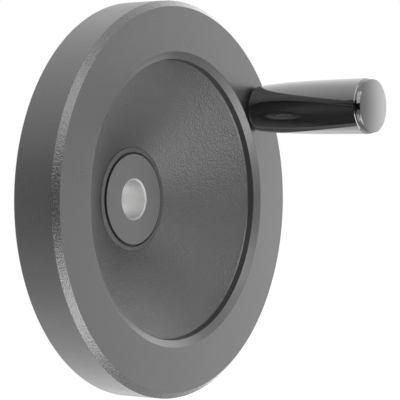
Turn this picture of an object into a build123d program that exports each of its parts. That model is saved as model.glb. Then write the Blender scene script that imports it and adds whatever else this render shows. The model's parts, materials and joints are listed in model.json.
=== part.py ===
from build123d import *
from math import cos, radians, sin, sqrt, tan
import os

# Machine handwheel: a dished solid-disc wheel with a revolving cylinder grip on its rim.
# All sizes are in millimetres. The wheel's axis is Y, its front looks along -Y and +Z is up.
# The origin is on the wheel's axis, half way along the shaft bore.
# Sections are drawn as (radius, forward), where forward counts along -Y from the origin.

# ---- all turned pieces ----
rounding_share_of_wall = 0.65

# ---- wheel: rim ----
rim_diameter = 160.0
rim_width = 20.5
rim_front_chamfer = 2.35
rim_rear_rounding = 1.0
rim_face_width = 18.15
rim_face_inner_edge_chamfer = 0.3
inner_bevel_width = 2.9
inner_bevel_depth = 1.7
recess_wall_depth = 4.65
recess_wall_draft = 0.25
rim_root_thickness = 22.0
rim_rear_draft = 0.5
rim_rear_inner_rounding = 2.0

# ---- wheel: web and hub ----
hub_length = 20.0
hub_face_below_rim_face = 23.3
hub_groove_diameter = 38.0
hub_groove_width = 0.8
hub_groove_depth = 1.0
hub_collar_width = 1.9
hub_collar_below_face = 0.5
hub_collar_height = 0.75
hub_collar_draft = 0.1
hub_collar_edge_chamfer = 0.2
hub_rear_diameter = 38.1
hub_rear_draft = 0.6
hub_rear_edge_chamfer = 0.8
web_thickness = 5.5
web_fillet_front_outer = 1.0
web_fillet_front_inner = 0.25
web_fillet_rear_outer = 4.0
web_fillet_rear_inner = 5.0
bore_diameter = 16.0
bore_chamfer = 0.6

# ---- grip: its place on the rim and its running play ----
grip_angle = 33.9
grip_gap_at_rim = 1.0
grip_journal_clearance = 0.05
grip_head_clearance = 0.1

# ---- grip spindle ----
thread_diameter = 8.0
thread_clearance = 0.02
thread_end_below_rear_face = 2.5
thread_end_chamfer = 0.8
thread_relief_diameter = 6.4
thread_relief_width = 1.5
tapped_hole_chamfer = 0.7
journal_diameter = 10.0
journal_edge_chamfer = 0.3
head_diameter = 14.0
head_thickness = 4.0
head_edge_chamfer = 0.5
head_side_clearance = 0.5
hex_socket_width = 5.0
hex_socket_depth = 3.0

# ---- grip sleeve ----
sleeve_length = 53.1
sleeve_base_diameter = 19.2
sleeve_base_rounding = 1.5
sleeve_neck_diameter = 21.7
sleeve_neck_from_base = 15.6
sleeve_belly_diameter = 22.85
sleeve_belly_from_base = 35.0
sleeve_end_diameter = 23.3
sleeve_mouth_chamfer = 0.5
sleeve_counterbore_depth = 10.0
seam_chamfer = 0.25

# ---- grip end cap ----
cap_side_height = 0.6
cap_edge_rounding = 3.15
cap_edge_inset = 0.6
cap_dome_rise = 0.5
cap_head_gap = 1.4
cap_spigot_wall = 1.8
cap_spigot_clearance = 0.02
cap_spigot_chamfer = 0.4
cap_skin = 2.0

# ---- worked-out radii and places ----
rim_radius = rim_diameter / 2
bore_radius = bore_diameter / 2
hub_rear_radius = hub_rear_diameter / 2
hub_front = hub_length / 2
hub_rear = -hub_length / 2
rim_front = hub_front + hub_face_below_rim_face
rim_rear = rim_front - rim_width
rim_face_outer_radius = rim_radius - rim_front_chamfer
rim_face_inner_radius = rim_face_outer_radius - rim_face_width
recess_lip_radius = rim_face_inner_radius - inner_bevel_width
recess_floor_radius = recess_lip_radius - recess_wall_draft
recess_floor = rim_front - recess_wall_depth
groove_inner_radius = (hub_groove_diameter - hub_groove_width) / 2
groove_outer_radius = (hub_groove_diameter + hub_groove_width) / 2
collar_radius = groove_outer_radius + hub_collar_width
collar_front = hub_front - hub_collar_below_face
collar_foot_radius = collar_radius + hub_collar_draft
collar_foot = collar_front - hub_collar_height
web_slope = (recess_floor - collar_foot) / (recess_floor_radius - collar_foot_radius)
web_drop = web_thickness * sqrt(1 + web_slope ** 2)
rim_inner_rear_radius = rim_radius - rim_root_thickness
rim_inner_root_radius = rim_inner_rear_radius - rim_rear_draft

grip_circle_radius = (rim_face_outer_radius + rim_face_inner_radius) / 2
grip_x = grip_circle_radius * cos(radians(grip_angle))
grip_z = grip_circle_radius * sin(radians(grip_angle))
journal_radius = journal_diameter / 2
head_radius = head_diameter / 2
sleeve_bore_radius = journal_radius + grip_journal_clearance
counterbore_radius = head_radius + head_side_clearance
sleeve_base = rim_front + grip_gap_at_rim
sleeve_end = sleeve_base + sleeve_length
counterbore_floor = sleeve_end - sleeve_counterbore_depth
head_seat = counterbore_floor + grip_head_clearance
head_front = head_seat + head_thickness
thread_end = rim_rear + thread_end_below_rear_face

section_plane = Plane(origin=(0, 0, 0), x_dir=(1, 0, 0), z_dir=(0, 0, -1))
grip_place = Pos(grip_x, 0, grip_z)


def web_front_at(radius):
    """Forward position of the web's front surface at a radius."""
    return collar_foot + web_slope * (radius - collar_foot_radius)


def web_rear_at(radius):
    """Forward position of the web's rear surface at a radius."""
    return web_front_at(radius) - web_drop


def turned(corners, roundings=(), chamfers=()):
    """Solid of revolution about Y of a straight-sided section with some corners eased."""
    with BuildSketch(section_plane) as section:
        with BuildLine():
            Polyline(*corners, close=True)
        make_face()
        for corner, radius in roundings:
            fillet(section_corner(section, corner), fitting_radius(corners, corner, radius))
        for corner, length in chamfers:
            chamfer(section_corner(section, corner), length)
    return revolve(section.sketch, axis=Axis.Y)


def fitting_radius(corners, corner, radius):
    """A rounding's radius, held down where its tangents would run out of the shorter wall."""
    place = corners.index(corner)
    middle = Vector(*corner)
    before = Vector(*corners[place - 1]) - middle
    after = Vector(*corners[(place + 1) % len(corners)]) - middle
    half_angle = radians(before.get_angle(after) / 2)
    tangent_room = rounding_share_of_wall * min(before.length, after.length)
    return min(radius, tangent_room * tan(half_angle))


def section_corner(section, corner):
    """The vertex of a section nearest to a (radius, forward) point."""
    return section.vertices().sort_by_distance(corner)[0]


def make_wheel():
    """One casting: rim, conical web and hub. The rim is turned, and the hub faced, grooved and bored."""
    bore_rear = (bore_radius, hub_rear)
    bore_front = (bore_radius, hub_front)
    groove_floor = hub_front - hub_groove_depth
    collar_edge = (collar_radius, collar_front)
    collar_root = (collar_foot_radius, collar_foot)
    recess_root = (recess_floor_radius, recess_floor)
    recess_lip = (recess_lip_radius, rim_front - inner_bevel_depth)
    face_inner_edge = (rim_face_inner_radius, rim_front)
    rim_front_edge = (rim_radius, rim_front)
    rim_rear_edge = (rim_radius, rim_rear)
    rim_inner_edge = (rim_inner_rear_radius, rim_rear)
    rim_inner_root = (rim_inner_root_radius, web_rear_at(rim_inner_root_radius))
    hub_root = (hub_rear_radius, web_rear_at(hub_rear_radius))
    hub_rear_edge = (hub_rear_radius - hub_rear_draft, hub_rear)
    corners = [
        bore_rear, bore_front,
        (groove_inner_radius, hub_front), (groove_inner_radius, groove_floor),
        (groove_outer_radius, groove_floor), (groove_outer_radius, collar_front),
        collar_edge, collar_root, recess_root, recess_lip, face_inner_edge,
        rim_front_edge, rim_rear_edge, rim_inner_edge, rim_inner_root, hub_root, hub_rear_edge,
    ]
    roundings = [
        (collar_root, web_fillet_front_inner),
        (recess_root, web_fillet_front_outer),
        (rim_rear_edge, rim_rear_rounding),
        (rim_inner_edge, rim_rear_inner_rounding),
        (rim_inner_root, web_fillet_rear_outer),
        (hub_root, web_fillet_rear_inner),
    ]
    chamfers = [
        (bore_rear, bore_chamfer),
        (bore_front, bore_chamfer),
        (collar_edge, hub_collar_edge_chamfer),
        (face_inner_edge, rim_face_inner_edge_chamfer),
        (rim_front_edge, rim_front_chamfer),
        (hub_rear_edge, hub_rear_edge_chamfer),
    ]
    return turned(corners, roundings, chamfers) - grip_place * make_tapped_hole()


def make_tapped_hole():
    """The hole through the rim for the spindle's thread, chamfered at both faces."""
    hole_radius = thread_diameter / 2 + thread_clearance
    mouth_radius = hole_radius + tapped_hole_chamfer
    return turned([
        (0, rim_rear),
        (mouth_radius, rim_rear),
        (hole_radius, rim_rear + tapped_hole_chamfer),
        (hole_radius, rim_front - tapped_hole_chamfer),
        (mouth_radius, rim_front),
        (0, rim_front),
    ])


def make_spindle():
    """Steel spindle: thread in the rim, journal for the sleeve and a head with a hex socket."""
    thread_radius = thread_diameter / 2
    relief_radius = thread_relief_diameter / 2
    thread_start = rim_front - thread_relief_width
    thread_tip = (thread_radius, thread_end)
    journal_shoulder = (journal_radius, rim_front)
    head_edge = (head_radius, head_front)
    body = turned(
        [
            (0, thread_end), thread_tip, (thread_radius, thread_start), (relief_radius, thread_start),
            (relief_radius, rim_front), journal_shoulder, (journal_radius, head_seat),
            (head_radius, head_seat), head_edge, (0, head_front),
        ],
        chamfers=[
            (thread_tip, thread_end_chamfer),
            (journal_shoulder, journal_edge_chamfer),
            (head_edge, head_edge_chamfer),
        ],
    )
    socket_plane = Plane(origin=(0, -head_front, 0), x_dir=(1, 0, 0), z_dir=(0, 1, 0))
    socket_outline = RegularPolygon(hex_socket_width / 2, 6, major_radius=False)
    socket = extrude(socket_plane * socket_outline, hex_socket_depth)
    return grip_place * (body - socket)


def make_sleeve():
    """Moulded sleeve that revolves on the journal: slim at the rim, fullest at its outer end."""
    base_radius = sleeve_base_diameter / 2
    end_radius = sleeve_end_diameter / 2
    base_edge = (base_radius, sleeve_base)
    side_end = (end_radius, sleeve_end - seam_chamfer)
    bore_mouth = (sleeve_bore_radius, sleeve_base)
    neck = (sleeve_neck_diameter / 2, sleeve_base + sleeve_neck_from_base)
    belly = (sleeve_belly_diameter / 2, sleeve_base + sleeve_belly_from_base)
    with BuildSketch(section_plane) as section:
        with BuildLine():
            Polyline(
                side_end, (end_radius - seam_chamfer, sleeve_end), (counterbore_radius, sleeve_end),
                (counterbore_radius, counterbore_floor), (sleeve_bore_radius, counterbore_floor),
                bore_mouth, base_edge,
            )
            Spline(base_edge, neck, belly, side_end)
        make_face()
        fillet(section_corner(section, base_edge), sleeve_base_rounding)
        chamfer(section_corner(section, bore_mouth), sleeve_mouth_chamfer)
    return grip_place * revolve(section.sketch, axis=Axis.Y)


def make_end_cap():
    """Moulded cap that snaps into the sleeve's counterbore and closes it over the spindle's head."""
    cap_radius = sleeve_end_diameter / 2
    face_radius = cap_radius - cap_edge_inset
    edge_height = sqrt(cap_edge_rounding ** 2 - (cap_edge_rounding - cap_edge_inset) ** 2)
    side_top = sleeve_end + cap_side_height
    face_edge = side_top + edge_height
    cap_apex = face_edge + cap_dome_rise
    spigot_radius = counterbore_radius - cap_spigot_clearance
    spigot_bore_radius = spigot_radius - cap_spigot_wall
    spigot_end = head_front + cap_head_gap
    spigot_tip = (spigot_radius, spigot_end)
    with BuildSketch(section_plane) as section:
        with BuildLine():
            Polyline(
                (0, cap_apex), (0, cap_apex - cap_skin), (spigot_bore_radius, cap_apex - cap_skin),
                (spigot_bore_radius, spigot_end), spigot_tip, (spigot_radius, sleeve_end),
                (cap_radius - seam_chamfer, sleeve_end), (cap_radius, sleeve_end + seam_chamfer),
                (cap_radius, side_top),
            )
            TangentArc((cap_radius, side_top), (face_radius, face_edge), tangent=(0, 1))
            TangentArc((0, cap_apex), (face_radius, face_edge), tangent=(1, 0))
        make_face()
        chamfer(section_corner(section, spigot_tip), cap_spigot_chamfer)
    return grip_place * revolve(section.sketch, axis=Axis.Y)


def main():
    """Write one STEP file for each piece."""
    os.makedirs("parts", exist_ok=True)
    pieces = {
        "wheel": make_wheel(),
        "grip_spindle": make_spindle(),
        "grip_sleeve": make_sleeve(),
        "grip_end_cap": make_end_cap(),
    }
    for name, piece in pieces.items():
        piece.label = name
        export_step(piece, f"parts/{name}.step")


main()
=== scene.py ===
import json
from math import atan2, cos, degrees, pi, radians, sin, sqrt, tan

import bmesh
import bpy
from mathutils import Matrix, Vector


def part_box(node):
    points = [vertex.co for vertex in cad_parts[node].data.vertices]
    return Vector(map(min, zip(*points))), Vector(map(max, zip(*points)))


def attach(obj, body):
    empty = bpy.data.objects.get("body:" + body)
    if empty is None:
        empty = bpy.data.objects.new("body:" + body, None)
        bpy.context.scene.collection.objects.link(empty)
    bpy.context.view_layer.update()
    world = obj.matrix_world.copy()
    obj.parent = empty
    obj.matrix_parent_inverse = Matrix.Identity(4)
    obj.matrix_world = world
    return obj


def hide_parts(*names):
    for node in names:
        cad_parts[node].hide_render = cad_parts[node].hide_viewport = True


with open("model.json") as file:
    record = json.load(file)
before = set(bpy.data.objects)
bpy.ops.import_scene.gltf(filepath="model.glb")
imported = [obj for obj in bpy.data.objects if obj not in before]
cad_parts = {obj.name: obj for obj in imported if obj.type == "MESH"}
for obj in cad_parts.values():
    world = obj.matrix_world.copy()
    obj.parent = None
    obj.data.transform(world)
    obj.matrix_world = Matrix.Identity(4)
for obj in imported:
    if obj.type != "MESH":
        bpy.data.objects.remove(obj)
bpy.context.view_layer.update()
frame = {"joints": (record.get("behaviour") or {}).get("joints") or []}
print("frame loaded")

mm = 0.001  # sizes are in millimetres, and are multiplied by this where Blender needs metres
samePlace = 0.001 * mm  # points closer than this are one point

wheelLow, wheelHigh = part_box("wheel")
sleeveLow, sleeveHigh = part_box("grip_sleeve")
capLow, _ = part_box("grip_end_cap")
spindleLow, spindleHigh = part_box("grip_spindle")
wheelAxis = Vector((0, 0, 0))
gripJoint = frame["joints"][0]
gripAxis = Vector((gripJoint["pos_m"][0], 0, gripJoint["pos_m"][2]))

# how far forward, along -Y from the shaft bore's middle, each piece starts and ends
rimFront = -wheelLow.y / mm
hubRear = -wheelHigh.y / mm
hubFront = -hubRear
sleeveBase = -sleeveHigh.y / mm
sleeveEnd = -sleeveLow.y / mm
capApex = -capLow.y / mm
threadEnd = -spindleHigh.y / mm
headFront = -spindleLow.y / mm


# modelling: an outline pulled out of one point, eased at its corners, then spun

def sectionPoint(corner, axis):
    radius, forward = corner[:2]
    return axis + Vector((radius * mm, -forward * mm, 0))


def selectPoint(place):
    mesh = bmesh.from_edit_mesh(bpy.context.object.data)
    bpy.ops.mesh.select_all(action="DESELECT")
    for vert in mesh.verts:
        vert.select = (vert.co - place).length < samePlace
    mesh.select_flush_mode()
    bmesh.update_edit_mesh(bpy.context.object.data)


def makeActive(piece):
    bpy.ops.object.select_all(action="DESELECT")
    bpy.context.view_layer.objects.active = piece
    piece.select_set(True)


def startOutline(name, place):
    # a mesh of one point, left in edit mode with that point selected
    bpy.ops.object.select_all(action="DESELECT")
    bpy.ops.mesh.primitive_plane_add(size=mm)
    piece = bpy.context.object
    piece.name = name
    bpy.ops.object.mode_set(mode="EDIT")
    bpy.ops.mesh.select_all(action="SELECT")
    bpy.ops.mesh.merge(type="CENTER")
    bpy.ops.transform.translate(value=place)
    return piece


def pullLine(places):
    for here, there in zip(places, places[1:]):
        bpy.ops.mesh.extrude_region_move(TRANSFORM_OT_translate={"value": there - here})


def easeCorner(before, corner, after, rounding, segments):
    toBefore, toAfter = before - corner, after - corner
    tangent = rounding * mm / tan(toBefore.angle(toAfter) / 2)
    selectPoint(corner)
    bpy.ops.mesh.bevel(
        offset=tangent, offset_type="OFFSET", segments=segments, profile=0.5, affect="VERTICES")


def drawOutline(name, corners, axis):
    # a corner is (radius, forward), or (radius, forward, rounding, segments) where it is eased
    places = [sectionPoint(corner, axis) for corner in corners]
    piece = startOutline(name, places[0])
    pullLine(places)
    mesh = bmesh.from_edit_mesh(piece.data)
    bpy.ops.mesh.select_all(action="DESELECT")
    for vert in mesh.verts:
        vert.select = min((vert.co - places[0]).length, (vert.co - places[-1]).length) < samePlace
    mesh.select_flush_mode()
    bpy.ops.mesh.edge_face_add()
    for index, corner in enumerate(corners):
        if len(corner) > 2:
            before, after = places[index - 1], places[(index + 1) % len(places)]
            easeCorner(before, places[index], after, *corner[2:])
    return piece


def spinOutline(name, corners, axis, steps):
    piece = drawOutline(name, corners, axis)
    bpy.ops.mesh.select_all(action="SELECT")
    bpy.ops.mesh.spin(steps=steps, angle=2 * pi, center=axis, axis=(0, 1, 0))
    bpy.ops.mesh.select_all(action="SELECT")
    bpy.ops.mesh.remove_doubles(threshold=samePlace)
    bpy.ops.mesh.dissolve_degenerate(threshold=samePlace / 10)
    bpy.ops.mesh.delete_loose()
    bpy.ops.mesh.select_all(action="SELECT")
    bpy.ops.mesh.normals_make_consistent(inside=False)
    bpy.ops.object.mode_set(mode="OBJECT")
    return piece


def carve(piece, tool, operation="DIFFERENCE"):
    makeActive(piece)
    cut = piece.modifiers.new("carve", "BOOLEAN")
    cut.operation = operation
    cut.solver = "EXACT"
    cut.object = tool
    bpy.ops.object.modifier_apply(modifier=cut.name)
    bpy.data.objects.remove(tool)


def finishPiece(piece):
    sharpFrom = 30  # edges that turn by more degrees than this stay sharp
    makeActive(piece)
    bpy.ops.object.transform_apply(location=True, rotation=True, scale=True)
    bpy.ops.object.shade_smooth_by_angle(angle=radians(sharpFrom))
    level = piece.modifiers.new("flatFacesStayFlat", "WEIGHTED_NORMAL")
    level.mode = "FACE_AREA"
    level.keep_sharp = True
    bpy.ops.object.modifier_apply(modifier=level.name)


# screw thread shared by the tapped hole and the spindle

thread = {
    "pitch": 1.25,
    "majorRadius": 4.0,
    "minorRadius": 3.23,
    "drillRadius": 3.4,
    "rootFlat": 0.21,
    "crestFlat": 0.16,
    "play": 0.06,  # how much the tapped hole's thread is wider
    "spareTurns": 2,  # wound past each end, then cut off
    "stepsPerTurn": 40,
}


def makeThreadRod(name, start, end, grow):
    # one pitch of outline is wound past both ends, then the ends are cut flat and closed
    t = thread
    minor, major = t["minorRadius"] + grow, t["majorRadius"] + grow
    root, crest = t["rootFlat"] - grow, t["crestFlat"] + grow
    flank = (t["pitch"] - t["rootFlat"] - t["crestFlat"]) / 2
    first = start - t["spareTurns"] * t["pitch"]
    turns = round((end - start) / t["pitch"]) + 2 * t["spareTurns"]
    outline = [
        (minor, first),
        (minor, first + root),
        (major, first + root + flank),
        (major, first + root + flank + crest),
        (minor, first + t["pitch"]),
    ]
    places = [sectionPoint(corner, wheelAxis) for corner in outline]
    rod = startOutline(name, places[0])
    pullLine(places)
    bpy.ops.object.mode_set(mode="OBJECT")
    winding = rod.modifiers.new("winding", "SCREW")
    winding.axis = "Y"
    winding.screw_offset = -t["pitch"] * mm
    winding.iterations = turns
    winding.steps = t["stepsPerTurn"]
    winding.render_steps = t["stepsPerTurn"]
    winding.use_merge_vertices = True
    winding.merge_threshold = samePlace
    bpy.ops.object.modifier_apply(modifier=winding.name)
    rod.location = gripAxis
    bpy.ops.object.transform_apply(location=True)
    bpy.ops.object.mode_set(mode="EDIT")
    bpy.ops.mesh.select_all(action="SELECT")
    bpy.ops.mesh.remove_doubles(threshold=samePlace)
    for forward, outward in ((start, 1), (end, -1)):
        bpy.ops.mesh.select_all(action="SELECT")
        bpy.ops.mesh.bisect(
            plane_co=(0, -forward * mm, 0), plane_no=(0, outward, 0), use_fill=True, clear_outer=True)
    bpy.ops.mesh.select_all(action="SELECT")
    bpy.ops.mesh.normals_make_consistent(inside=False)
    bpy.ops.object.mode_set(mode="OBJECT")
    return rod


# wheel

wheelShape = {
    "rimWidth": 20.5,
    "rimThickness": 22.0,  # at the rear, from the outside to the hollow
    "rimRearDraft": 0.5,
    "frontChamfer": 2.35,
    "faceWidth": 18.15,
    "bevelWidth": 2.9,
    "bevelDepth": 1.7,
    "recessDepth": 4.65,
    "recessDraft": 0.25,
    "grooveRadius": 19.0,
    "grooveWidth": 0.95,
    "grooveDepth": 1.2,
    "collarWidth": 1.9,
    "collarBelowFace": 0.5,
    "collarHeight": 0.75,
    "collarDraft": 0.1,
    "hubRearRadius": 19.05,
    "hubRearDraft": 0.6,
    "hubRearChamfer": 0.8,
    "webThickness": 5.5,
    "boreRadius": 8.0,
    "boreChamfer": 0.6,
    "holeMouth": 0.7,  # how much wider than the thread the tapped hole's countersinks are
    "tapBelowFace": 1.5,
    "drillPast": 1.0,  # the drill runs on past both faces
    # roundings, each with the segments that draw it; the coat rounds every turned edge a little
    "turnedEdge": (0.15, 3),
    "grooveEdge": (0.05, 2),
    "collarEdge": (0.35, 4),
    "collarFoot": (0.4, 4),
    "recessCorner": (1.0, 6),
    "bevelFoot": (0.25, 4),
    "faceInnerEdge": (0.4, 4),
    "rimRearEdge": (1.0, 6),
    "hollowEdge": (2.0, 8),
    "rimToWeb": (4.0, 12),
    "webToHub": (5.0, 12),
    "spinSteps": 288,
    "drillSteps": 64,
}


def wheelSection():
    s = wheelShape
    rimRadius = wheelHigh.x / mm
    rimRear = rimFront - s["rimWidth"]
    faceOuter = rimRadius - s["frontChamfer"]
    faceInner = faceOuter - s["faceWidth"]
    lip = faceInner - s["bevelWidth"]
    recessRoot = (lip - s["recessDraft"], rimFront - s["recessDepth"])
    grooveInner = s["grooveRadius"] - s["grooveWidth"] / 2
    grooveOuter = s["grooveRadius"] + s["grooveWidth"] / 2
    collar = grooveOuter + s["collarWidth"]
    collarFront = hubFront - s["collarBelowFace"]
    collarRoot = (collar + s["collarDraft"], collarFront - s["collarHeight"])
    slope = (recessRoot[1] - collarRoot[1]) / (recessRoot[0] - collarRoot[0])
    webDrop = s["webThickness"] * sqrt(1 + slope ** 2)
    hollow = rimRadius - s["rimThickness"]
    hollowRoot = hollow - s["rimRearDraft"]
    boreMouth = s["boreRadius"] + s["boreChamfer"]
    hubRearEnd = s["hubRearRadius"] - s["hubRearDraft"]

    def webRear(radius):
        return collarRoot[1] + slope * (radius - collarRoot[0]) - webDrop

    return [
        (s["boreRadius"], hubRear + s["boreChamfer"]),
        (s["boreRadius"], hubFront - s["boreChamfer"]),
        (boreMouth, hubFront),
        (grooveInner, hubFront, *s["grooveEdge"]),
        (grooveInner, hubFront - s["grooveDepth"], *s["grooveEdge"]),
        (grooveOuter, hubFront - s["grooveDepth"], *s["grooveEdge"]),
        (grooveOuter, collarFront, *s["grooveEdge"]),
        (collar, collarFront, *s["collarEdge"]),
        (*collarRoot, *s["collarFoot"]),
        (*recessRoot, *s["recessCorner"]),
        (lip, rimFront - s["bevelDepth"], *s["bevelFoot"]),
        (faceInner, rimFront, *s["faceInnerEdge"]),
        (faceOuter, rimFront, *s["turnedEdge"]),
        (rimRadius, rimFront - s["frontChamfer"], *s["turnedEdge"]),
        (rimRadius, rimRear, *s["rimRearEdge"]),
        (hollow, rimRear, *s["hollowEdge"]),
        (hollowRoot, webRear(hollowRoot), *s["rimToWeb"]),
        (s["hubRearRadius"], webRear(s["hubRearRadius"]), *s["webToHub"]),
        (hubRearEnd, hubRear + s["hubRearChamfer"], *s["turnedEdge"]),
        (hubRearEnd - s["hubRearChamfer"], hubRear, *s["turnedEdge"]),
        (boreMouth, hubRear),
    ]


def makeWheel():
    s = wheelShape
    wheel = spinOutline("handwheelBody", wheelSection(), wheelAxis, s["spinSteps"])
    rimRear = rimFront - s["rimWidth"]
    past = s["drillPast"]
    drilled = thread["drillRadius"]
    mouth = thread["majorRadius"] + s["holeMouth"]
    drill = spinOutline("tapDrill", [
        (0, rimRear - past),
        (mouth + past, rimRear - past),
        (drilled, rimRear + mouth - drilled),
        (drilled, rimFront - mouth + drilled),
        (mouth + past, rimFront + past),
        (0, rimFront + past),
    ], gripAxis, s["drillSteps"])
    carve(wheel, drill)
    carve(wheel, makeThreadRod("tap", rimRear - past, rimFront - s["tapBelowFace"], thread["play"]))
    finishPiece(wheel)
    return wheel


# grip spindle

spindleShape = {
    "reliefWidth": 1.5,
    "reliefRadius": 3.2,
    "reliefOverlap": 0.5,  # how far the relief starts inside the thread
    "journalRadius": 5.0,
    "journalChamfer": 0.3,
    "headRadius": 7.0,
    "headThickness": 4.0,
    "headChamfer": 0.5,
    "socketSides": 6,
    "socketWidth": 5.0,
    "socketDepth": 3.0,
    "threadChamfer": 0.8,
    "blankPlay": 0.05,  # how far the thread's blank stands outside its crests
    "spinSteps": 96,
}


def makeSpindle():
    s = spindleShape
    shoulder = rimFront
    threadStart = shoulder - s["reliefWidth"]
    reliefStart = threadStart - s["reliefOverlap"]
    headSeat = headFront - s["headThickness"]
    spindle = spinOutline("gripSpindleTurned", [
        (0, reliefStart),
        (s["reliefRadius"], reliefStart),
        (s["reliefRadius"], shoulder),
        (s["journalRadius"] - s["journalChamfer"], shoulder),
        (s["journalRadius"], shoulder + s["journalChamfer"]),
        (s["journalRadius"], headSeat),
        (s["headRadius"], headSeat),
        (s["headRadius"], headFront - s["headChamfer"]),
        (s["headRadius"] - s["headChamfer"], headFront),
        (0, headFront),
    ], gripAxis, s["spinSteps"])
    blankRadius = thread["majorRadius"] + s["blankPlay"]
    blank = spinOutline("threadBlank", [
        (0, threadEnd),
        (thread["majorRadius"] - s["threadChamfer"], threadEnd),
        (blankRadius, threadEnd + s["threadChamfer"] + s["blankPlay"]),
        (blankRadius, threadStart),
        (0, threadStart),
    ], gripAxis, s["spinSteps"])
    pitch = thread["pitch"]
    rod = makeThreadRod("gripSpindleThread", threadEnd - pitch, threadStart + pitch, 0)
    carve(rod, blank, "INTERSECT")
    carve(spindle, rod, "UNION")
    bpy.ops.object.select_all(action="DESELECT")
    bpy.ops.mesh.primitive_cylinder_add(
        vertices=s["socketSides"],
        radius=s["socketWidth"] / 2 / cos(pi / s["socketSides"]) * mm,
        depth=2 * s["socketDepth"] * mm,
        location=gripAxis - Vector((0, headFront * mm, 0)),
        rotation=(pi / 2, 0, 0),
    )
    carve(spindle, bpy.context.object)
    finishPiece(spindle)
    return spindle


# grip sleeve

sleeveShape = {
    "baseDiameter": 19.2,
    "baseEdge": (1.5, 8),  # rounding, and the segments that draw it
    "neckDiameter": 21.7,
    "neckFromBase": 15.6,
    "bellyDiameter": 22.85,
    "bellyFromBase": 35.0,
    "endDiameter": 23.3,
    "boreRadius": 5.05,
    "boreChamfer": 0.5,
    "counterboreRadius": 7.5,
    "counterboreDepth": 10.0,
    "seamChamfer": 0.25,
    "sideSteps": 22,
    "spinSteps": 160,
}


def sleeveRadius(fromBase):
    # the cubic through the four measured diameters
    s = sleeveShape
    gauges = [
        (0, s["baseDiameter"] / 2),
        (s["neckFromBase"], s["neckDiameter"] / 2),
        (s["bellyFromBase"], s["bellyDiameter"] / 2),
        (sleeveEnd - sleeveBase - s["seamChamfer"], s["endDiameter"] / 2),
    ]
    total = 0
    for place, radius in gauges:
        share = radius
        for other, _ in gauges:
            if other != place:
                share *= (fromBase - other) / (place - other)
        total += share
    return total


def makeSleeve():
    s = sleeveShape
    sideLength = sleeveEnd - sleeveBase - s["seamChamfer"]
    counterboreFloor = sleeveEnd - s["counterboreDepth"]
    endRadius = s["endDiameter"] / 2
    side = []
    for step in range(1, s["sideSteps"]):
        fromBase = sideLength * step / s["sideSteps"]
        side.append((sleeveRadius(fromBase), sleeveBase + fromBase))
    sleeve = spinOutline("gripSleeveTurning", [
        (s["boreRadius"] + s["boreChamfer"], sleeveBase),
        (s["baseDiameter"] / 2, sleeveBase, *s["baseEdge"]),
        *side,
        (endRadius, sleeveEnd - s["seamChamfer"]),
        (endRadius - s["seamChamfer"], sleeveEnd),
        (s["counterboreRadius"], sleeveEnd),
        (s["counterboreRadius"], counterboreFloor),
        (s["boreRadius"], counterboreFloor),
        (s["boreRadius"], sleeveBase + s["boreChamfer"]),
    ], gripAxis, s["spinSteps"])
    finishPiece(sleeve)
    return sleeve


# grip end cap

capShape = {
    "sideHeight": 0.6,
    "edgeRounding": 3.15,
    "edgeInset": 0.6,
    "edgeShare": 0.999,  # just under the whole rounding, so that its ends stay off the next points
    "edgeSegments": 10,
    "domeRise": 0.5,
    "domeSteps": 10,
    "faceThickness": 2.0,
    "spigotLength": 4.5,
    "spigotWall": 1.8,
    "spigotClearance": 0.02,
    "spigotChamfer": 0.4,
}


def makeEndCap():
    s = capShape
    capRadius = sleeveShape["endDiameter"] / 2
    seam = sleeveShape["seamChamfer"]
    faceRadius = capRadius - s["edgeInset"]
    edgeStart = sleeveEnd + s["sideHeight"]
    edgeRise = sqrt(s["edgeRounding"] ** 2 - (s["edgeRounding"] - s["edgeInset"]) ** 2)
    edgeCorner = edgeStart + edgeRise / 2 * (1 + (s["edgeInset"] / edgeRise) ** 2)
    insideFace = capApex - s["faceThickness"]
    spigot = sleeveShape["counterboreRadius"] - s["spigotClearance"]
    spigotBore = spigot - s["spigotWall"]
    spigotEnd = sleeveEnd - s["spigotLength"]
    dome = []
    for step in range(1, s["domeSteps"]):
        share = 1 - step / s["domeSteps"]
        dome.append((faceRadius * share, capApex - s["domeRise"] * share ** 2))
    cap = spinOutline("gripCapTurning", [
        (0, insideFace),
        (spigotBore, insideFace),
        (spigotBore, spigotEnd),
        (spigot - s["spigotChamfer"], spigotEnd),
        (spigot, spigotEnd + s["spigotChamfer"]),
        (spigot, sleeveEnd),
        (capRadius - seam, sleeveEnd),
        (capRadius, sleeveEnd + seam),
        (capRadius, edgeCorner, s["edgeRounding"] * s["edgeShare"], s["edgeSegments"]),
        (faceRadius, edgeStart + edgeRise),
        *dome,
        (0, capApex),
    ], gripAxis, sleeveShape["spinSteps"])
    finishPiece(cap)
    return cap


# node helpers, and the effects that materials share

patternRange = (0.25, 0.75)  # nearly all of a noise pattern's values lie in here


def addNode(tree, kind, inputs=None, **settings):
    node = tree.nodes.new(kind)
    for name, value in settings.items():
        setattr(node, name, value)
    for name, value in (inputs or {}).items():
        if isinstance(value, bpy.types.NodeSocket):
            tree.links.new(value, node.inputs[name])
        else:
            node.inputs[name].default_value = value
    return node


def blend(tree, first, second, operation):
    node = addNode(tree, "ShaderNodeMath", operation=operation)
    for index, value in enumerate((first, second)):
        if isinstance(value, bpy.types.NodeSocket):
            tree.links.new(value, node.inputs[index])
        else:
            node.inputs[index].default_value = value
    return node.outputs[0]


def remap(tree, value, given, wanted=(0.0, 1.0), **settings):
    ends = {"From Min": given[0], "From Max": given[1], "To Min": wanted[0], "To Max": wanted[1]}
    return addNode(tree, "ShaderNodeMapRange", {"Value": value, **ends}, **settings).outputs["Result"]


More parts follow.
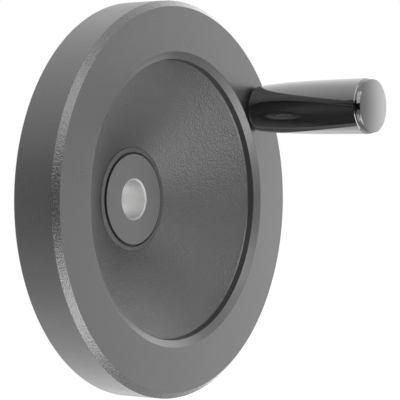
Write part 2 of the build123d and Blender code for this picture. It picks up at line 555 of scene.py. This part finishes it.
def mixColors(tree, factor, first, second):
    node = addNode(tree, "ShaderNodeMix", data_type="RGBA")
    tree.links.new(factor, node.inputs["Factor"])
    node.inputs["A"].default_value = (*first, 1)
    node.inputs["B"].default_value = (*second, 1)
    return node.outputs["Result"]


def addNoise(tree, place, scale, detail, roughness=0.5):
    inputs = {"Vector": place, "Scale": scale, "Detail": detail, "Roughness": roughness}
    return addNode(tree, "ShaderNodeTexNoise", inputs).outputs["Fac"]


def addBump(tree, shader, height, depth):
    bump = addNode(tree, "ShaderNodeBump", {"Height": height, "Strength": 1.0, "Distance": depth * mm})
    tree.links.new(bump.outputs["Normal"], shader.inputs["Normal"])


def startGroup(name, inputs, outputs):
    group = bpy.data.node_groups.new(name, "ShaderNodeTree")
    for title, value in inputs.items():
        socket = group.interface.new_socket(title, in_out="INPUT", socket_type="NodeSocketFloat")
        socket.default_value = value
    for title in outputs:
        group.interface.new_socket(title, in_out="OUTPUT", socket_type="NodeSocketFloat")
    given, result = group.nodes.new("NodeGroupInput"), group.nodes.new("NodeGroupOutput")
    place = addNode(group, "ShaderNodeTexCoord").outputs["Object"]
    return group, given.outputs, result.inputs, place


def countPerMetre(tree, size):
    # how many pattern cells of a size in millimetres fit in a metre
    return blend(tree, 1 / mm, size, "DIVIDE")


def makeCoatGrain():
    # powder coat: small rounded grains over a slow orange peel, its gloss varying in wide patches
    patchesPerMetre = 45.0
    group, given, result, place = startGroup(
        "coatGrain",
        {"Grain Size": 0.7, "Peel Size": 4.0, "Peel Share": 0.3},
        ("Height", "Tone", "Gloss"),
    )
    grain = addNoise(group, place, countPerMetre(group, given["Grain Size"]), 2.0, 0.55)
    peel = addNoise(group, place, countPerMetre(group, given["Peel Size"]), 1.0)
    patches = addNoise(group, place, patchesPerMetre, 3.0)
    peelPart = blend(group, peel, given["Peel Share"], "MULTIPLY")
    group.links.new(blend(group, grain, peelPart, "ADD"), result["Height"])
    group.links.new(grain, result["Tone"])
    group.links.new(patches, result["Gloss"])
    return group


def makeToolMarks():
    # fine rings left by a turning or boring tool, running round the Y axis
    wobblesPerMetre = 400.0
    streaksPerMetre = (60.0, 9000.0, 60.0)
    group, given, result, place = startGroup(
        "toolMarks",
        {"Feed": 0.3, "Wander": 0.25},
        ("Height", "Tone"),
    )
    along = addNode(group, "ShaderNodeSeparateXYZ", {"Vector": place}).outputs["Y"]
    wobble = addNoise(group, place, wobblesPerMetre, 2.0)
    wobbled = blend(group, wobble, given["Wander"], "MULTIPLY")
    turns = blend(group, along, countPerMetre(group, given["Feed"]), "MULTIPLY")
    phase = blend(group, blend(group, turns, wobbled, "ADD"), 2 * pi, "MULTIPLY")
    ridge = blend(group, phase, 0.0, "SINE")
    stretched = addNode(group, "ShaderNodeMapping", {"Vector": place, "Scale": streaksPerMetre})
    streaks = addNoise(group, stretched.outputs["Vector"], 1.0, 3.0)
    group.links.new(blend(group, ridge, streaks, "ADD"), result["Height"])
    group.links.new(streaks, result["Tone"])
    return group


def makeMouldSkin():
    # polished moulding: a slow waviness, with faint haze and fine dust in the gloss
    speckCellsPerMetre = 900.0
    speckEdge = (0.06, 0.16)  # in cells
    group, given, result, place = startGroup(
        "mouldSkin",
        {"Wave Size": 6.0, "Haze Size": 14.0},
        ("Height", "Haze", "Dust"),
    )
    wave = addNoise(group, place, countPerMetre(group, given["Wave Size"]), 1.0)
    haze = addNoise(group, place, countPerMetre(group, given["Haze Size"]), 4.0)
    cells = addNode(group, "ShaderNodeTexVoronoi", {"Vector": place, "Scale": speckCellsPerMetre})
    specks = remap(group, cells.outputs["Distance"], speckEdge, (1.0, 0.0))
    group.links.new(wave, result["Height"])
    group.links.new(haze, result["Haze"])
    group.links.new(specks, result["Dust"])
    return group


coatGrain = makeCoatGrain()
toolMarks = makeToolMarks()
mouldSkin = makeMouldSkin()
print("shared effects made")


# materials

def startMaterial(name):
    material = bpy.data.materials.new(name)
    material.use_nodes = True
    tree = material.node_tree
    return material, tree, tree.nodes["Principled BSDF"]


def placeGroup(tree, group, values):
    node = addNode(tree, "ShaderNodeGroup", node_tree=group)
    for name, value in values.items():
        node.inputs[name].default_value = value
    return node.outputs


def tintBetween(tree, tone, dark, light):
    return mixColors(tree, remap(tree, tone, patternRange), dark, light)


coatColor = {
    "dark": (0.031, 0.031, 0.0330),
    "light": (0.043, 0.043, 0.0455),
}
turnedFinish = {
    "grainSize": 0.9,
    "peelShare": 0.3,
    "grainDepth": 0.060,
    "roughness": (0.27, 0.34),
    "ior": 1.74,
    "shade": 1.0,
}
edgeFinish = {
    "grainSize": 0.65,
    "peelShare": 0.2,
    "grainDepth": 0.18,
    "roughness": (0.19, 0.26),
    "ior": 1.74,
    "shade": 1.0,
}
castFinish = {
    "grainSize": 0.8,
    "peelShare": 0.3,
    "grainDepth": 0.28,
    "roughness": (0.32, 0.42),
    "ior": 1.52,
    "shade": 1.35,
}
# the groove's coat colour is written 0.45 times as dark, which paints the shade down in the groove
grooveFinish = {
    "grainSize": 0.9,
    "peelShare": 0.3,
    "grainDepth": 0.060,
    "roughness": (0.60, 0.70),
    "ior": 1.45,
    "shade": 0.45,
}


def makeCoat(name, finish):
    material, tree, shader = startMaterial(name)
    grain = placeGroup(
        tree, coatGrain, {"Grain Size": finish["grainSize"], "Peel Share": finish["peelShare"]})
    dark = [part * finish["shade"] for part in coatColor["dark"]]
    light = [part * finish["shade"] for part in coatColor["light"]]
    shader.inputs["IOR"].default_value = finish["ior"]
    tree.links.new(tintBetween(tree, grain["Tone"], dark, light), shader.inputs["Base Color"])
    roughness = remap(tree, grain["Gloss"], patternRange, finish["roughness"])
    tree.links.new(roughness, shader.inputs["Roughness"])
    addBump(tree, shader, grain["Height"], finish["grainDepth"])
    return material


boreFinish = {
    "dark": (0.59, 0.59, 0.584),
    "light": (0.68, 0.68, 0.67),
    "roughness": (0.42, 0.52),
    "feed": 0.25,
    "depth": 0.004,
}
# the chamfers' metal is written darker than the bore's, which paints shade over the softboxes'
# reflection there; the higher roughness is their duller finish
boreEdgeFinish = {
    "dark": (0.34, 0.34, 0.337),
    "light": (0.42, 0.42, 0.414),
    "roughness": (0.70, 0.80),
    "feed": 0.25,
    "depth": 0.004,
}
steelFinish = {
    "dark": (0.48, 0.48, 0.50),
    "light": (0.60, 0.60, 0.61),
    "roughness": (0.22, 0.34),
    "feed": 0.18,
    "depth": 0.003,
}


def makeTurnedMetal(name, finish):
    material, tree, shader = startMaterial(name)
    marks = placeGroup(tree, toolMarks, {"Feed": finish["feed"]})
    color = tintBetween(tree, marks["Tone"], finish["dark"], finish["light"])
    shader.inputs["Metallic"].default_value = 1.0
    tree.links.new(color, shader.inputs["Base Color"])
    roughness = remap(tree, marks["Tone"], patternRange, finish["roughness"])
    tree.links.new(roughness, shader.inputs["Roughness"])
    addBump(tree, shader, marks["Height"], finish["depth"])
    return material


thermosetFinish = {
    "color": (0.004, 0.004, 0.0045),
    "dustColor": (0.020, 0.020, 0.021),
    "roughness": (0.05, 0.09),
    "ior": 1.72,
    "glazeIor": 1.55,
    "glazeRoughness": 0.03,
    "waveDepth": 0.0015,
}
sleeveFinish = {"waveSize": 6.0, "glaze": 1.0}
capFinish = {"waveSize": 9.0, "glaze": 0.45}


def makeThermoset(name, finish):
    f = thermosetFinish
    material, tree, shader = startMaterial(name)
    skin = placeGroup(tree, mouldSkin, {"Wave Size": finish["waveSize"]})
    shader.inputs["IOR"].default_value = f["ior"]
    shader.inputs["Coat Weight"].default_value = finish["glaze"]
    shader.inputs["Coat Roughness"].default_value = f["glazeRoughness"]
    shader.inputs["Coat IOR"].default_value = f["glazeIor"]
    color = mixColors(tree, skin["Dust"], f["color"], f["dustColor"])
    tree.links.new(color, shader.inputs["Base Color"])
    roughness = remap(tree, skin["Haze"], patternRange, f["roughness"])
    tree.links.new(roughness, shader.inputs["Roughness"])
    addBump(tree, shader, skin["Height"], f["waveDepth"])
    return material


wheelMaterials = {
    "turned": makeCoat("powderCoatOnTurnedFaces", turnedFinish),
    "cast": makeCoat("powderCoatOnCastFaces", castFinish),
    "rimEdge": makeCoat("powderCoatOnRimEdges", edgeFinish),
    # painted shade: the coat down in the groove is darker than the rest
    "groove": makeCoat("coatWithPaintedShadeInGroove", grooveFinish),
    "bore": makeTurnedMetal("bareBore", boreFinish),
    # painted shade: the bore's chamfers are darker copies of the bore's metal
    "boreEdge": makeTurnedMetal("bareBoreEdgesWithPaintedShade", boreEdgeFinish),
}
spindleSteel = makeTurnedMetal("platedSteel", steelFinish)
sleeveBlack = makeThermoset("polishedThermosetSleeve", sleeveFinish)
capBlack = makeThermoset("polishedThermosetCap", capFinish)
print("materials made")


# the pieces, on their bodies

wheelFaces = {
    "levelLean": 0.99,  # a face that leans forward or back by this much is flat, not a chamfer
    "chamferLean": (0.3, 0.95),
    "grooveMargin": 0.1,  # the groove's darker coat, painted shade, starts this far below the hub's face
    "wallMargin": 0.4,  # the recess wall is turned, and this is more than its draft
    "tolerance": samePlace / mm,
}


def wheelFaceKind(face):
    # bare metal in the bore, duller metal with painted shade on its chamfers,
    # coat darkened as painted shade down in the groove, coarse coat on the web's front and rear,
    # as cast, and glossier coat on the rim's chamfer
    s, limits = wheelShape, wheelFaces
    radius = sqrt(face.center.x ** 2 + face.center.z ** 2) / mm
    forward = -face.center.y / mm
    lean = -face.normal.y
    bore = s["boreRadius"] + limits["tolerance"]
    if radius < bore:
        return "bore"
    if radius < bore + s["boreChamfer"] and abs(lean) < limits["levelLean"]:
        return "boreEdge"
    inGroove = abs(radius - s["grooveRadius"]) < s["grooveWidth"] / 2 + limits["tolerance"]
    deep = -s["grooveDepth"] - limits["grooveMargin"] < forward - hubFront < -limits["grooveMargin"]
    if inGroove and deep:
        return "groove"
    rimEdge = wheelHigh.x / mm - s["frontChamfer"]
    lip = rimEdge - s["faceWidth"] - s["bevelWidth"]
    behindHubFace = forward < hubFront
    if s["grooveRadius"] < radius < lip and (behindHubFace or radius < lip - limits["wallMargin"]):
        return "cast"
    if radius > rimEdge and limits["chamferLean"][0] < lean < limits["chamferLean"][1]:
        return "rimEdge"
    return "turned"


def dressWheel(wheel):
    kinds = list(wheelMaterials)
    for material in wheelMaterials.values():
        wheel.data.materials.append(material)
    for face in wheel.data.polygons:
        face.material_index = kinds.index(wheelFaceKind(face))


def putPiece(piece, node, body, materials=()):
    for material in materials:
        piece.data.materials.append(material)
    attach(piece, body)
    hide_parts(node)
    print(piece.name, "faces:", len(piece.data.polygons))


wheel = makeWheel()
dressWheel(wheel)
putPiece(wheel, "wheel", "wheel")
putPiece(makeSpindle(), "grip_spindle", "wheel", [spindleSteel])
putPiece(makeSleeve(), "grip_sleeve", "grip", [sleeveBlack])
putPiece(makeEndCap(), "grip_end_cap", "grip", [capBlack])


# floor, light and camera

studio = {
    "floorBelow": 750.0,
    "floorColor": (0.80, 0.80, 0.80),
    "floorGlow": 0.25,  # with the world's own light this makes the floor as white as the background
    "floorSize": 30000.0,
    "skyGlow": 0.65,
    "skyGlowRise": (0.35, 0.8),  # heights on a unit sphere where the glow starts and is full
    "darkRadius": 1800.0,
    "darkArcs": ((-127.0, -90.0, 1450.0), (-90.0, -12.0, 900.0)),  # from, to, height
    "darkColor": (0.02, 0.02, 0.02),
    "darkSteps": 180,
}

# softboxes turned to the wheel: azimuth from the front, elevation, distance, width, height,
# and brightness beside the world's 1
softboxes = {
    "leftLow": (-92, -48, 600, 500, 310, 1.60),
    "rearLow": (165, -44, 700, 900, 500, 0.60),
    "frontHigh": (-12, 35, 900, 760, 655, 2.90),
    "frontLeft": (-73, 36, 900, 720, 800, 2.30),
    "frontLow": (-12, -40, 600, 640, 485, 4.60),
    "nearLow": (-40, -62, 600, 500, 300, 0.90),
    "rightHigh": (88, 52, 900, 600, 560, 0.35),
}
# these show in reflections and add no plain light
onlyReflected = ("rearLow", "frontHigh", "frontLeft", "frontLow")

# upright screen on the right, as white as the world at its front edge and soon brighter behind it
screen = {
    "azimuth": 78.0,
    "distance": 900.0,
    "width": 1400.0,
    "height": 1220.0,
    "raise": 190.0,
    "frontGlow": 1.0,
    "rearGlow": 2.6,
    "riseFrom": -500.0,
    "riseTo": -170.0,
}


def toward(azimuth, elevation):
    # a unit step away from the wheel; azimuth 0 is its front, and grows towards +X
    turn, rise = radians(azimuth), radians(elevation)
    return Vector((sin(turn) * cos(rise), -cos(turn) * cos(rise), sin(rise)))


def addSeenGlow(tree, shader, strength):
    # white to the camera and in reflections, with no more light on the object
    rays = addNode(tree, "ShaderNodeLightPath")
    seen = blend(tree, rays.outputs["Is Camera Ray"], rays.outputs["Is Glossy Ray"], "MAXIMUM")
    shader.inputs["Emission Color"].default_value = (1, 1, 1, 1)
    tree.links.new(blend(tree, seen, strength, "MULTIPLY"), shader.inputs["Emission Strength"])


def makeFloor():
    bpy.ops.object.select_all(action="DESELECT")
    level = wheelLow.z - studio["floorBelow"] * mm
    bpy.ops.mesh.primitive_plane_add(size=studio["floorSize"] * mm, location=(0, 0, level))
    floor = bpy.context.object
    floor.name = "paleFloor"
    material, tree, shader = startMaterial("paleFloor")
    shader.inputs["Base Color"].default_value = (*studio["floorColor"], 1)
    shader.inputs["Roughness"].default_value = 0.9
    shader.inputs["Specular IOR Level"].default_value = 0.0
    addSeenGlow(tree, shader, studio["floorGlow"])
    floor.data.materials.append(material)


def makeDarkSide():
    # the unlit side of the studio, behind the camera: arcs of dark cloth that only reflections show
    material, tree, shader = startMaterial("darkCloth")
    shader.inputs["Base Color"].default_value = (*studio["darkColor"], 1)
    shader.inputs["Roughness"].default_value = 1.0
    shader.inputs["Specular IOR Level"].default_value = 0.0
    for start, end, height in studio["darkArcs"]:
        bpy.ops.object.select_all(action="DESELECT")
        bpy.ops.mesh.primitive_cylinder_add(
            vertices=studio["darkSteps"], radius=studio["darkRadius"] * mm, depth=height * mm,
            end_fill_type="NOTHING")
        cloth = bpy.context.object
        cloth.name = "darkCloth"
        bpy.ops.object.mode_set(mode="EDIT")
        mesh = bmesh.from_edit_mesh(cloth.data)
        for face in mesh.faces:
            middle = face.calc_center_median()
            face.select = not start < degrees(atan2(middle.x, -middle.y)) < end
        bmesh.update_edit_mesh(cloth.data)
        bpy.ops.mesh.delete(type="FACE")
        bpy.ops.object.mode_set(mode="OBJECT")
        cloth.data.materials.append(material)
        cloth.visible_camera = False


def makeSoftboxes():
    for name, (azimuth, elevation, distance, width, height, brightness) in softboxes.items():
        lamp = bpy.data.lights.new(name, "AREA")
        lamp.shape = "RECTANGLE"
        lamp.size, lamp.size_y = width * mm, height * mm
        # power grows with the area, so a box of any size looks equally bright
        lamp.energy = brightness * pi * lamp.size * lamp.size_y
        box = bpy.data.objects.new(name, lamp)
        bpy.context.scene.collection.objects.link(box)
        way = toward(azimuth, elevation)
        box.location = Vector((0, wheelLow.y, 0)) + way * distance * mm
        box.rotation_mode = "QUATERNION"
        box.rotation_quaternion = way.to_track_quat("Z", "Y")
        box.visible_camera = False
        box.visible_diffuse = name not in onlyReflected


def makeScreen():
    middle = Vector((0, wheelLow.y, screen["raise"] * mm))
    bpy.ops.object.select_all(action="DESELECT")
    bpy.ops.mesh.primitive_plane_add(
        size=1,
        location=middle + toward(screen["azimuth"], 0) * screen["distance"] * mm,
        rotation=(pi / 2, 0, radians(screen["azimuth"])),
    )
    panel = bpy.context.object
    panel.name = "rightScreen"
    panel.scale = (screen["width"] * mm, screen["height"] * mm, 1)
    bpy.ops.object.transform_apply(location=False, rotation=False, scale=True)
    material, tree, shader = startMaterial("rightScreen")
    place = addNode(tree, "ShaderNodeTexCoord").outputs["Object"]
    across = addNode(tree, "ShaderNodeSeparateXYZ", {"Vector": place}).outputs["X"]
    rise = (screen["riseFrom"] * mm, screen["riseTo"] * mm)
    glows = (screen["frontGlow"], screen["rearGlow"])
    glow = remap(tree, across, rise, glows, interpolation_type="SMOOTHSTEP")
    shader.inputs["Base Color"].default_value = (0, 0, 0, 1)
    shader.inputs["Specular IOR Level"].default_value = 0.0
    shader.inputs["Emission Color"].default_value = (1, 1, 1, 1)
    tree.links.new(glow, shader.inputs["Emission Strength"])
    panel.data.materials.append(material)
    panel.visible_camera = False


def makeWorld():
    # white for every ray, and a little more in reflections of the studio's ceiling
    world = bpy.data.worlds.new("paleStudio")
    bpy.context.scene.world = world
    world.use_nodes = True
    tree = world.node_tree
    background = tree.nodes["Background"]
    background.inputs["Color"].default_value = (1, 1, 1, 1)
    way = addNode(tree, "ShaderNodeTexCoord").outputs["Generated"]
    upward = addNode(tree, "ShaderNodeSeparateXYZ", {"Vector": way}).outputs["Z"]
    glow = remap(tree, upward, studio["skyGlowRise"], (0.0, studio["skyGlow"]))
    rays = addNode(tree, "ShaderNodeLightPath")
    extra = blend(tree, glow, rays.outputs["Is Glossy Ray"], "MULTIPLY")
    tree.links.new(blend(tree, extra, 1.0, "ADD"), background.inputs["Strength"])


view = {
    "azimuth": -55.55,
    "elevation": 0.70,
    "distance": 760.0,
    "lens": 170.0,
    "sensorWidth": 36.0,
    "clipEnd": 50000.0,
    "aim": (4.38, -39.69, -0.13),  # the point in the middle of the picture
}


def makeCamera():
    back = toward(view["azimuth"], view["elevation"])
    data = bpy.data.cameras.new("view")
    data.lens = view["lens"]
    data.sensor_width = view["sensorWidth"]
    data.clip_end = view["clipEnd"] * mm
    camera = bpy.data.objects.new("view", data)
    bpy.context.scene.collection.objects.link(camera)
    camera.location = Vector(view["aim"]) * mm + back * view["distance"] * mm
    camera.rotation_mode = "QUATERNION"
    camera.rotation_quaternion = (-back).to_track_quat("-Z", "Y")
    bpy.context.scene.camera = camera


makeFloor()
makeDarkSide()
makeSoftboxes()
makeScreen()
makeWorld()
makeCamera()
bpy.context.scene.view_settings.view_transform = "Standard"
print("studio made")
